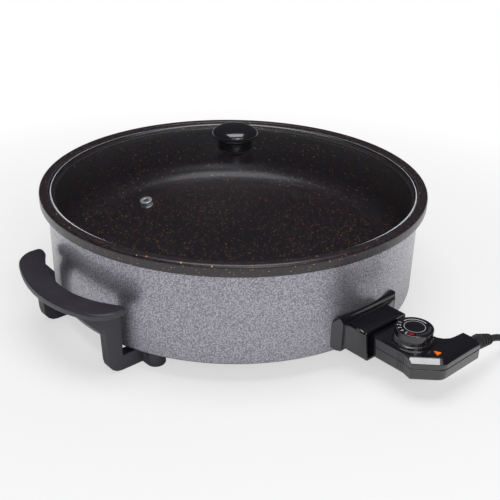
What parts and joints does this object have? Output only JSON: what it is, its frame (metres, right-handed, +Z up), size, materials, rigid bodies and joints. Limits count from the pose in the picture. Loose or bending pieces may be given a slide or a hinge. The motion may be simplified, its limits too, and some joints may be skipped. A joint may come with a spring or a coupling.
{
  "type": "electric pizza maker",
  "caption": "Round electric pan with a domed lift-off glass lid, footed side handles and a plug-in probe thermostat on a mains cord, for baking and frying at the table.",
  "frame": {"origin": "centre of the base plate's underside, on the pan's axis", "axes": "+Z up along the pan's axis, handles along X, the socket and its plug-in control on -Y"},
  "size_m": [0.4898, 0.6056, 0.1914],
  "materials": {
    "non_stick_casting": "dark speckled non-stick coating on cast aluminium",
    "hammertone_jacket": "grey hammertone paint",
    "plated_sheet": "zinc plated",
    "fasteners": "zinc plated",
    "stainless": "satin stainless",
    "contact_brass": "bright",
    "insulator": "unglazed steatite",
    "handle_plastic": "satin dark phenolic",
    "black_plastic": "glossy black",
    "foot_rubber": "matte",
    "lid_glass": "clear tempered glass",
    "gasket": "matte silicone",
    "amber_lens": "clear amber",
    "cord_jacket": "satin flexible PVC"
  },
  "bodies": {
    "pan": {"inner_pan": "non_stick_casting", "outer_jacket": "hammertone_jacket", "base_plate": "plated_sheet", "heat_reflector": "plated_sheet", "base_screw_1": "fasteners", "base_screw_2": "fasteners", "base_screw_3": "fasteners", "base_screw_4": "fasteners", "heating_element": "stainless", "element_clip_1": "plated_sheet", "element_clip_2": "plated_sheet", "element_clip_3": "plated_sheet", "probe_guide": "non_stick_casting", "socket_housing": "black_plastic", "terminal_pin_left": "contact_brass", "terminal_bush_left": "insulator", "socket_screw_left": "fasteners", "terminal_pin_right": "contact_brass", "terminal_bush_right": "insulator", "socket_screw_right": "fasteners", "handle_right": "handle_plastic", "handle_left": "handle_plastic", "foot_pad_1": "foot_rubber", "foot_pad_2": "foot_rubber", "foot_pad_3": "foot_rubber", "foot_pad_4": "foot_rubber", "handle_screw_1": "fasteners", "handle_screw_2": "fasteners", "handle_screw_3": "fasteners", "handle_screw_4": "fasteners", "handle_nut_1": "fasteners", "handle_nut_2": "fasteners", "handle_nut_3": "fasteners", "handle_nut_4": "fasteners"},
    "lid": {"lid_glass": "lid_glass", "vent_grommet": "stainless", "knob_gasket": "gasket", "lid_knob": "black_plastic", "knob_washer": "stainless", "knob_screw": "stainless"},
    "control": {"control_bottom": "black_plastic", "control_top": "black_plastic", "control_screw_1": "fasteners", "control_screw_2": "fasteners", "control_screw_3": "fasteners", "contact_sleeve_left": "contact_brass", "contact_sleeve_right": "contact_brass", "thermostat_switch": "insulator", "probe_rod": "stainless", "pilot_lens": "amber_lens", "strain_relief": "cord_jacket", "cord_lead": "cord_jacket", "cord_coil": "cord_jacket", "cord_tail": "cord_jacket", "cord_tie": "cord_jacket", "plug_body": "cord_jacket", "plug_pin_1": "contact_brass", "plug_pin_2": "contact_brass"},
    "dial": {"dial_knob": "black_plastic", "dial_spindle": "contact_brass"}
  },
  "joints": [
    {"name": "lid_lift", "type": "slide", "parent": "pan", "child": "lid", "axis": [0, 0, 1], "range_m": [0, 0.15]},
    {"name": "control_unplug", "type": "slide", "parent": "pan", "child": "control", "axis": [0, -1, 0], "range_m": [0, 0.09]},
    {"name": "dial_turn", "type": "hinge", "parent": "control", "child": "dial", "pos_m": [0, -0.2582, 0.035], "axis": [0, 0, -1], "range_deg": [0, 270]}
  ]
}
